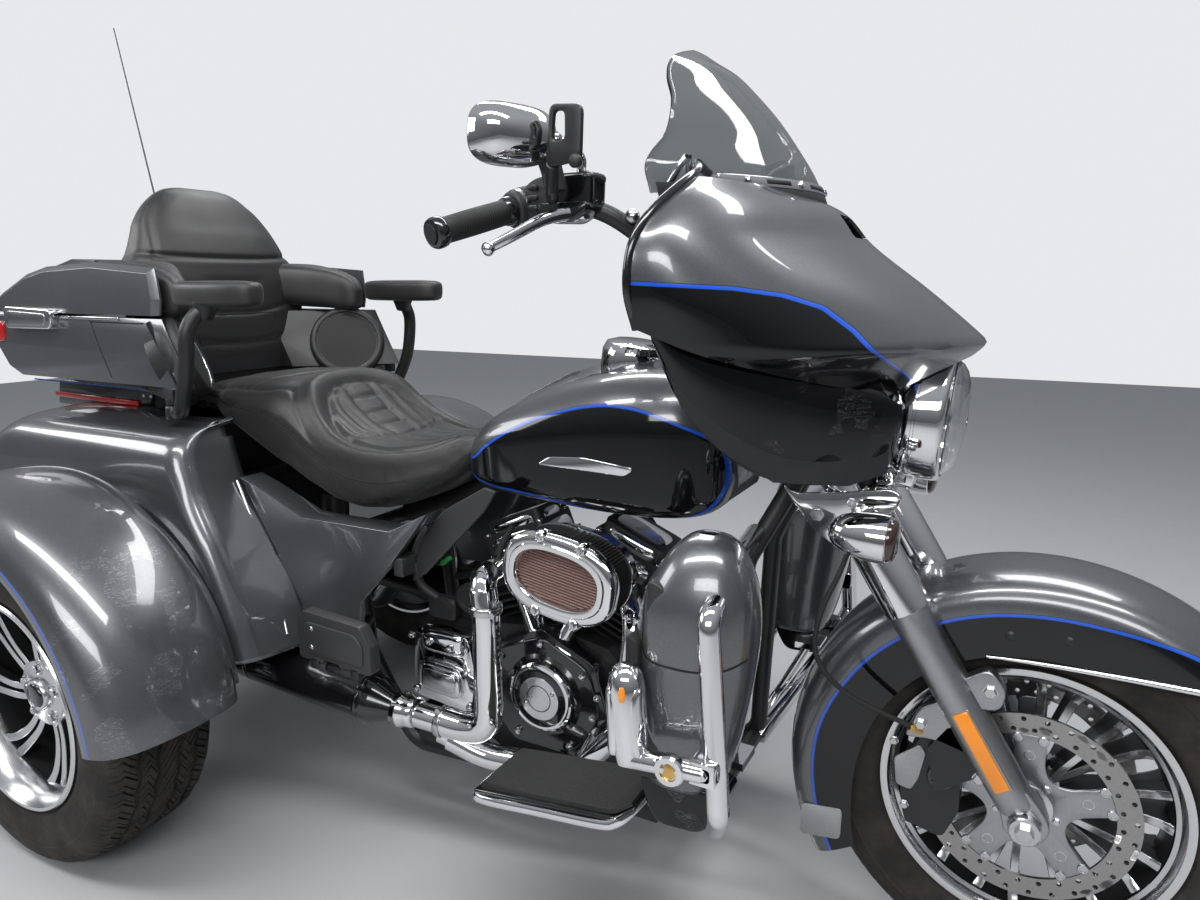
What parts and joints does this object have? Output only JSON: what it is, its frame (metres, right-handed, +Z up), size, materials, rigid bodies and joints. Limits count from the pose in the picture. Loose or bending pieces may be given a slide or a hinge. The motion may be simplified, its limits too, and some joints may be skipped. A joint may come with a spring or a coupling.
{
  "type": "motorized trike",
  "caption": "Full-dress touring motor trike with fork fairing, two-up seat, tour trunk, rear body with wide fenders and one front wheel.",
  "frame": {"origin": "on the floor under the middle of the bounding box", "axes": "+X towards the front wheel, +Y to the rider's left, +Z up"},
  "size_m": [2.7485, 1.39, 1.7903],
  "materials": {
    "aluminium": "machined",
    "black_paint": "gloss",
    "black_satin": "satin",
    "chrome": "polished",
    "clear": "clear",
    "grey_paint": "metallic charcoal gloss",
    "leather": "grained",
    "plastic": "satin",
    "rubber": "ribbed",
    "tyre": "tread"
  },
  "bodies": {
    "chassis": {"air_cleaner": "chrome", "antenna": "plastic", "backrest": "leather", "cylinders": "black_satin", "engine_cases": "black_satin", "engine_covers": "chrome", "engine_guard": "chrome", "exhaust_pipes": "chrome", "floorboards": "rubber", "foot_controls": "chrome", "fuel_tank": "black_paint", "heat_deflectors": "grey_paint", "leg_shields": "grey_paint", "main_frame": "black_satin", "mufflers": "black_paint", "rear_axle": "black_satin", "rear_body": "grey_paint", "rear_fenders": "grey_paint", "seat": "leather", "side_covers": "grey_paint", "speaker_pods": "plastic", "tank_console": "chrome", "trunk_box": "grey_paint", "trunk_rack": "plastic"},
    "steering": {"calipers": "black_satin", "fairing_inner": "plastic", "fairing_outer": "grey_paint", "fork": "chrome", "front_fender": "grey_paint", "handlebar": "black_satin", "headlight": "chrome", "mirrors": "chrome", "turn_signals": "chrome", "windshield": "clear"},
    "front_wheel": {"front_tyre": "tyre", "front_rim": "aluminium"},
    "rear_wheel_right": {"rear_tyre_right": "tyre", "rear_rim_right": "aluminium"},
    "rear_wheel_left": {"rear_tyre_left": "tyre", "rear_rim_left": "aluminium"},
    "trunk_lid": {"trunk_lid": "grey_paint"},
    "tailgate": {"tailgate": "grey_paint"},
    "footboard_right": {"passenger_footboard_right": "plastic"},
    "footboard_left": {"passenger_footboard_left": "plastic"},
    "armrest_right": {"armrest_right": "plastic"},
    "armrest_left": {"armrest_left": "plastic"}
  },
  "joints": [
    {"name": "steering", "type": "hinge", "parent": "chassis", "child": "steering", "pos_m": [0.71404, 0, 0.9], "axis": [-0.4384, 0, 0.8988], "range_deg": [-28, 28]},
    {"name": "front_wheel", "type": "hinge", "parent": "steering", "child": "front_wheel", "pos_m": [1.054, 0, 0.32], "axis": [0, 1, 0], "continuous": true},
    {"name": "rear_wheel_right", "type": "hinge", "parent": "chassis", "child": "rear_wheel_right", "pos_m": [-0.616, -0.535, 0.324], "axis": [0, 1, 0], "continuous": true},
    {"name": "rear_wheel_left", "type": "hinge", "parent": "chassis", "child": "rear_wheel_left", "pos_m": [-0.616, 0.535, 0.324], "axis": [0, 1, 0], "continuous": true},
    {"name": "trunk_lid", "type": "hinge", "parent": "chassis", "child": "trunk_lid", "pos_m": [-1.016, 0.309, 1.028], "axis": [-1, 0, 0], "range_deg": [0, 75]},
    {"name": "tailgate", "type": "hinge", "parent": "chassis", "child": "tailgate", "pos_m": [-1.228, 0, 0.448], "axis": [0, -1, 0], "range_deg": [0, 80]},
    {"name": "footboard_right", "type": "hinge", "parent": "chassis", "child": "footboard_right", "pos_m": [-0.066, -0.35, 0.406], "axis": [1, 0, 0], "range_deg": [0, 85]},
    {"name": "footboard_left", "type": "hinge", "parent": "chassis", "child": "footboard_left", "pos_m": [-0.066, 0.35, 0.406], "axis": [-1, 0, 0], "range_deg": [0, 85]},
    {"name": "armrest_right", "type": "hinge", "parent": "chassis", "child": "armrest_right", "pos_m": [-0.524, -0.3, 0.84], "axis": [0, 0, -1], "range_deg": [0, 60]},
    {"name": "armrest_left", "type": "hinge", "parent": "chassis", "child": "armrest_left", "pos_m": [-0.524, 0.3, 0.84], "axis": [0, 0, 1], "range_deg": [0, 60]}
  ]
}
